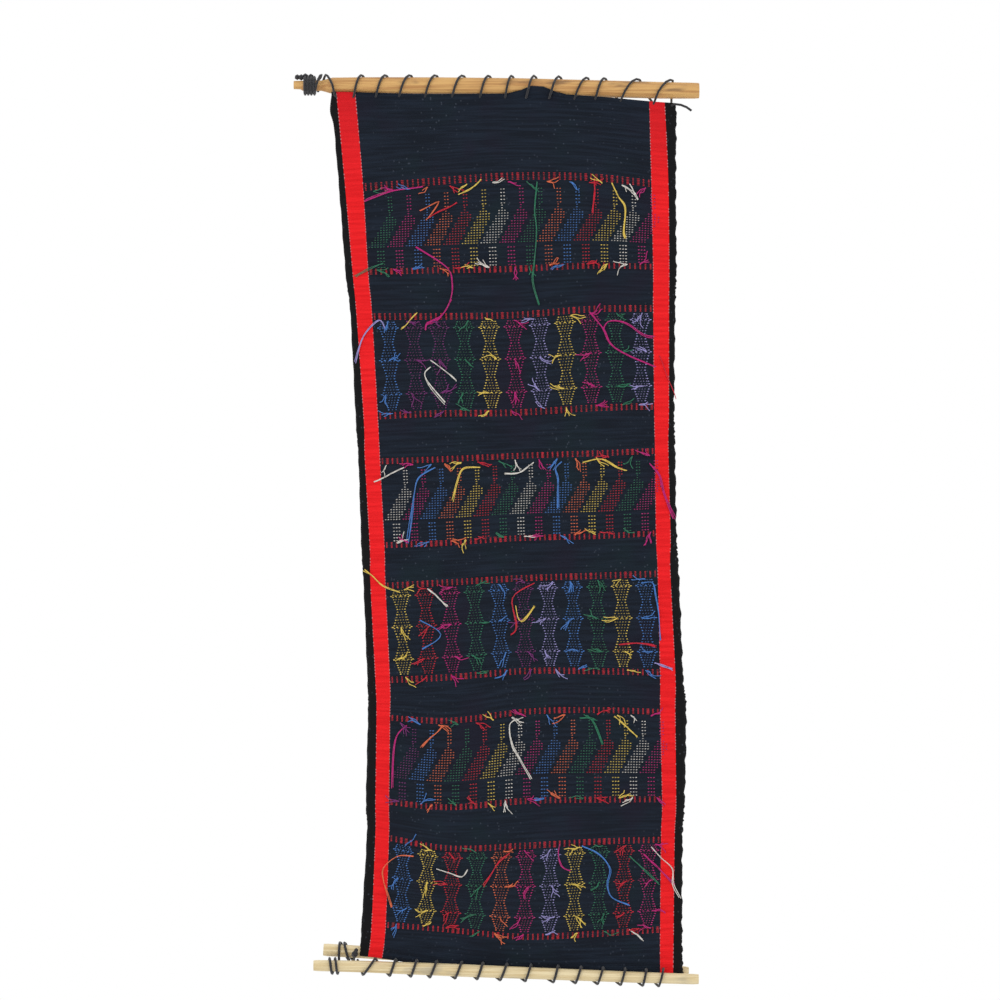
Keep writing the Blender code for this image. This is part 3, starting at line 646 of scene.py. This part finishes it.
def dyed_yarn(colour, dark_share):
    """Dyed yarn: fibres in the bump, and lighter and darker lengths."""
    look = Finish("yarn_" + colour, Roughness=0.88, Sheen_Weight=0.25)
    look.shader.inputs["Specular IOR Level"].default_value = 0.2
    bright = YARN_COLOURS[colour]
    dark = tuple(part * dark_share for part in bright)
    place = look.add("ShaderNodeTexCoord", out=3)
    uneven = look.noise(place, 260.0)
    shade = look.add("ShaderNodeAttribute", out=2, attribute_name="shade")
    look.feed("Base Color", look.mix(shade * uneven.rise(0.15, 0.6), dark, bright))
    look.feed("Roughness", 0.8 + 0.15 * uneven)
    look.relief(look.noise(place, 2400.0), 0.0002, 0.5)
    return look


for colour, rows in laid.items():
    rows = np.array(rows)
    places = cloth(rows[:, 0], rows[:, 1])
    places[:, 1] -= FLOAT_LIFT
    guide = bpy.data.meshes.new("float_places")
    guide.from_pydata(places.tolist(), [], [])
    stretches = np.stack([rows[:, 2], np.ones(len(rows)), np.ones(len(rows))], axis=1)
    guide.attributes.new("stretch", "FLOAT_VECTOR", "POINT").data.foreach_set("vector", stretches.ravel())
    guide.attributes.new("shade", "FLOAT", "POINT").data.foreach_set("value", np.clip(rows[:, 3], 0, 1))
    piece = float_recipe.make(
        "floats_" + colour, guide, dyed_yarn(colour, 0.12),
        Width=FLOAT_HALF.x, Depth=FLOAT_HALF.y, Height=FLOAT_HALF.z,
    )
    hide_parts(*BANDS)

# Yarn ends: where a colour starts or stops, its tail is left hanging on this side, some cut short and
# some carried to the next band. They are the brocade's own yarn, one to four plies, untwisting at the tip.

PLY_RADIUS, END_LIFT = 0.42 * MM, 1.9 * MM
SHORT_END, END_SPREAD, STEPS_A_LEG = 15 * MM, 1.3 * MM, 5
WAVE_REACH, WAVES_ASIDE, WAVES_ALONG, PHASES_A_METRE = 0.4 * MM, 9, 8, 4000
END_ARCH = 0.8
SHORT_HEADINGS, SHORT_PLIES = (20, 160, 200, 235, 300, 335), (2, 3, 3, 4)
HEAD_START, FOOT_START = 0.1, 0.93
SHEET_WIDTH = 0.335
End = namedtuple("End", "colour plies route")
# Routes in millimetres across and up, from where the yarn leaves the cloth to its tip
LONG_ENDS = [
    End("magenta", 3, [(-80, -106), (-110, -110), (-140, -120)]),
    End("orange", 2, [(-83, -131), (-63, -122), (-76, -140)]),
    End("crimson", 2, [(-75, -139), (-58, -130), (-43, -123)]),
    End("yellow", 3, [(-19, -98), (-28, -107), (-42, -113)]),
    End("magenta", 3, [(-87, -169), (-55, -190), (-49, -207), (-51, -225), (-62, -243), (-75, -249)]),
    End("green", 3, [(40, -101), (37, -131), (39, -152), (37, -184), (35, -205), (41, -229)]),
    End("yellow", 4, [(118, -102), (126, -117), (132, -128), (131, -152), (133, -160)]),
    End("crimson", 3, [(100, -97), (100, -113), (98, -134)]),
    End("white", 3, [(137, -103), (141, -112), (145, -121)]),
    End("green", 2, [(-121, -186), (-136, -192), (-151, -200)]),
    End("lavender", 3, [(-119, -255), (-126, -246), (-142, -262), (-151, -290)]),
    End("magenta", 3, [(-50, -224), (-59, -240), (-75, -249), (-77, -257)]),
    End("magenta", 4, [(95, -237), (109, -255), (121, -275), (163, -295)]),
    End("magenta", 3, [(109, -255), (116, -247), (133, -249), (151, -261), (162, -264)]),
    End("white", 3, [(-72, -288), (-58, -297), (-44, -309)]),
    End("white", 3, [(-72, -295), (-78, -302), (-74, -313), (-57, -333)]),
    End("yellow", 3, [(-86, -238), (-96, -249), (-102, -255)]),
    End("crimson", 1, [(168, -283), (177, -305), (186, -328)]),
    End("blue", 3, [(-67, -400), (-84, -411), (-89, -428), (-92, -451), (-96, -480)]),
    End("magenta", 4, [(158, -396), (168, -408), (174, -429), (184, -453)]),
    End("yellow", 3, [(88, -395), (107, -391), (124, -400), (133, -403)]),
    End("yellow", 3, [(-20, -400), (-37, -401), (-43, -413), (-49, -435)]),
    End("blue", 3, [(66, -394), (59, -402), (62, -413), (62, -443)]),
    End("white", 3, [(36, -395), (22, -405), (6, -407)]),
    End("white", 3, [(-100, -400), (-115, -408), (-131, -416)]),
    End("yellow", 3, [(-104, -531), (-122, -524), (-133, -513), (-142, -507)]),
    End("blue", 3, [(149, -521), (161, -521), (164, -535), (167, -555), (169, -581)]),
    End("white", 4, [(-75, -527), (-64, -536), (-54, -545)]),
    End("crimson", 3, [(37, -521), (14, -537), (18, -567), (12, -575)]),
    End("yellow", 3, [(17, -545), (23, -561), (37, -545)]),
    End("blue", 3, [(-83, -560), (-61, -575), (-80, -590)]),
    End("crimson", 4, [(126, -586), (145, -584), (164, -587)]),
    End("lavender", 3, [(163, -605), (172, -608), (182, -612)]),
    End("magenta", 3, [(-97, -671), (-107, -681), (-110, -695), (-112, -736)]),
    End("white", 3, [(19, -664), (11, -670), (14, -691), (20, -703), (34, -726)]),
    End("yellow", 3, [(121, -661), (132, -670), (145, -682)]),
    End("orange", 3, [(-59, -671), (-70, -682), (-82, -693)]),
    End("green", 3, [(85, -663), (98, -665), (109, -690)]),
    End("orange", 3, [(-90, -808), (-106, -808), (-121, -820), (-121, -833), (-117, -846), (-112, -861)]),
    End("blue", 3, [(87, -797), (102, -804), (111, -812), (117, -823), (114, -838), (119, -852), (137, -860)]),
    End("white", 2, [(160, -798), (170, -810), (182, -822), (183, -838), (190, -853)]),
    End("crimson", 3, [(11, -805), (0, -814), (-8, -827), (-16, -839)]),
    End("white", 3, [(-66, -821), (-51, -826), (-39, -829), (-32, -822)]),
    End("magenta", 3, [(152, -806), (168, -821), (184, -837)]),
    End("green", 3, [(137, -808), (152, -822), (167, -837)]),
    End("magenta", 3, [(64, -795), (62, -808), (66, -819), (74, -824)]),
    End("white", 3, [(137, -885), (144, -890), (151, -896)]),
]


def face_at(x, z):
    """The depth of the sheet's middle surface at places given across and up."""
    across, down = np.full(len(x), 0.5), down_at(z)
    for _ in range(6):
        point = cloth(across, down)
        across = np.clip(across + (x - point[:, 0]) / SHEET_WIDTH, 0, 1)
        down = down_at(np.interp(down, FINE_DOWN, FINE_HEIGHT) + z - point[:, 2])
    return cloth(across, down)[:, 1]


strands = {colour: [] for colour in YARN_COLOURS}


def strand(colour, route):
    """One ply along a route in metres, wandering more towards its tip."""
    route = np.array(route)
    at = np.linspace(0, len(route) - 1, STEPS_A_LEG * (len(route) - 1) + 1)
    x, z = (smooth(route[:, [side]], at) for side in (0, 1))
    share = at / at[-1]
    sway = [chance.uniform(-1, 1) * END_SPREAD for _ in range(4)]
    x = x + share * sway[0] + np.sin(share * WAVES_ASIDE + sway[1] * PHASES_A_METRE) * WAVE_REACH
    z = z + share * sway[2] + np.cos(share * WAVES_ALONG + sway[3] * PHASES_A_METRE) * WAVE_REACH
    y = face_at(x, z) - END_LIFT - chance.uniform(0, END_ARCH) * MM * np.sin(share * math.pi)
    strands[colour].append((np.stack([x, y, z], axis=1), 1.0 - 0.5 * share**3))


for end in LONG_ENDS:
    for _ in range(end.plies):
        strand(end.colour, [(x * MM, z * MM) for x, z in end.route])

# The short ends start at each figure's head and foot, and at the widest rows of the chains
for band, names in sorted({**LEAF_COLOURS, **CHAIN_COLOURS}.items()):
    colours = names.split()
    between = () if band in LEAF_COLOURS else CHAIN_BELLIES[1:]
    for share in (HEAD_START, *between, FOOT_START):
        for number, colour in enumerate(colours):
            ground = min(max((number + 0.55 + chance.uniform(-0.25, 0.25)) / len(colours), 0.02), 0.98)
            across = GROUND_FROM + (GROUND_TO - GROUND_FROM) * ground
            x, _, z = cloth([across], [2 * band - 1 + share])[0]
            heading = math.radians(chance.choice(SHORT_HEADINGS) + chance.uniform(-20, 20))
            for _ in range(chance.choice(SHORT_PLIES)):
                lean = heading + chance.uniform(-0.3, 0.3)
                reach = SHORT_END * chance.uniform(0.5, 1.1)
                bend = lean + chance.uniform(-0.7, 0.7)
                half = (x + reach / 2 * math.cos(lean), z + reach / 2 * math.sin(lean))
                tip = (half[0] + reach / 2 * math.cos(bend), half[1] + reach / 2 * math.sin(bend))
                strand(colour, [(x, z), half, tip])

ply_recipe = Recipe("yarn_plies", "Ply Radius")
outline = {"Resolution": 5, "Radius": ply_recipe.take("Ply Radius")}
ring = ply_recipe.add("GeometryNodeCurvePrimitiveCircle", outline)
swept = {"Curve": ply_recipe.take("Geometry"), "Profile Curve": ring, "Fill Caps": True}
ply_recipe.end(ply_recipe.add("GeometryNodeCurveToMesh", swept))

for colour, plies in strands.items():
    guide = bpy.data.curves.new("ply_routes", "CURVE")
    guide.dimensions = "3D"
    for places, widths in plies:
        spline = guide.splines.new("POLY")
        spline.points.add(len(places) - 1)
        spline.points.foreach_set("co", np.column_stack([places, np.ones(len(places))]).ravel())
        spline.points.foreach_set("radius", widths)
    look = dyed_yarn(colour, 0.45)
    piece = ply_recipe.make("ends_" + colour, guide, look, **{"Ply Radius": PLY_RADIUS})
    length = np.array([chance.uniform(0.7, 1.0) for _ in piece.data.vertices])
    piece.data.attributes.new("shade", "FLOAT", "POINT").data.foreach_set("value", length)

# The sticks: a peeled golden one that the heading is sewn over, and two paler ones lashed to the foot.
# They are plain rounds of wood, greyed and stained by handling, with the grain along them.


def peeled_wood(name, pale, deep, stain, stain_share):
    """Peeled wood: long grain along X, blotches of stain, and darker streaks."""
    look = Finish(name, Roughness=0.55)
    place = look.add("ShaderNodeTexCoord", out=3)
    drawn_out = look.add("ShaderNodeMapping", {"Vector": place, "Scale": (14.0, 420.0, 420.0)})
    spread = look.add("ShaderNodeMapping", {"Vector": place, "Scale": (22.0, 90.0, 90.0)})
    grain = look.noise(drawn_out, 1.0, 4.0)
    blotch = look.noise(spread, 1.0, 3.0)
    colour = look.mix(grain.rise(0.35, 0.7), pale, deep)
    colour = look.mix(blotch.rise(0.55, 0.72) * stain_share, colour, stain)
    look.feed("Base Color", colour)
    look.feed("Roughness", 0.45 + 0.25 * grain)
    look.relief(grain, 0.0003, 0.35)
    return look


golden = peeled_wood("golden_stick", (0.62, 0.36, 0.12), (0.42, 0.20, 0.06), (0.16, 0.08, 0.035), 0.7)
cream = peeled_wood("pale_stick", (0.74, 0.62, 0.38), (0.58, 0.44, 0.22), (0.30, 0.28, 0.22), 0.5)

# The lashings: one hard-twisted black cotton cord sews the heading to its stick and another the foot,
# with a tie at the corner and a wrap at the end of the hanging stick.

black_cord = Finish("black_cotton_cord", Roughness=0.8, Sheen_Weight=0.2)
cord_place = black_cord.add("ShaderNodeTexCoord", out=3)
slanted = black_cord.add("ShaderNodeMapping", {"Vector": cord_place, "Rotation": (0.0, 0.7, 0.4)})
ply = black_cord.add(
    "ShaderNodeTexWave", {"Vector": slanted, "Scale": 260.0, "Distortion": 1.5}, out=1, wave_type="BANDS"
)
black_cord.feed("Base Color", black_cord.mix(ply, (0.004, 0.004, 0.006), (0.022, 0.021, 0.026)))
black_cord.feed("Roughness", 0.7 + 0.2 * ply)
black_cord.relief(ply, 0.0004, 0.7)

for name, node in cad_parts.items():
    if name in ("woven_panel", *BANDS):
        continue
    look = golden if name == "top_rod" else cream if name.endswith("rod") else black_cord
    for slot in node.material_slots:
        slot.material = look.material
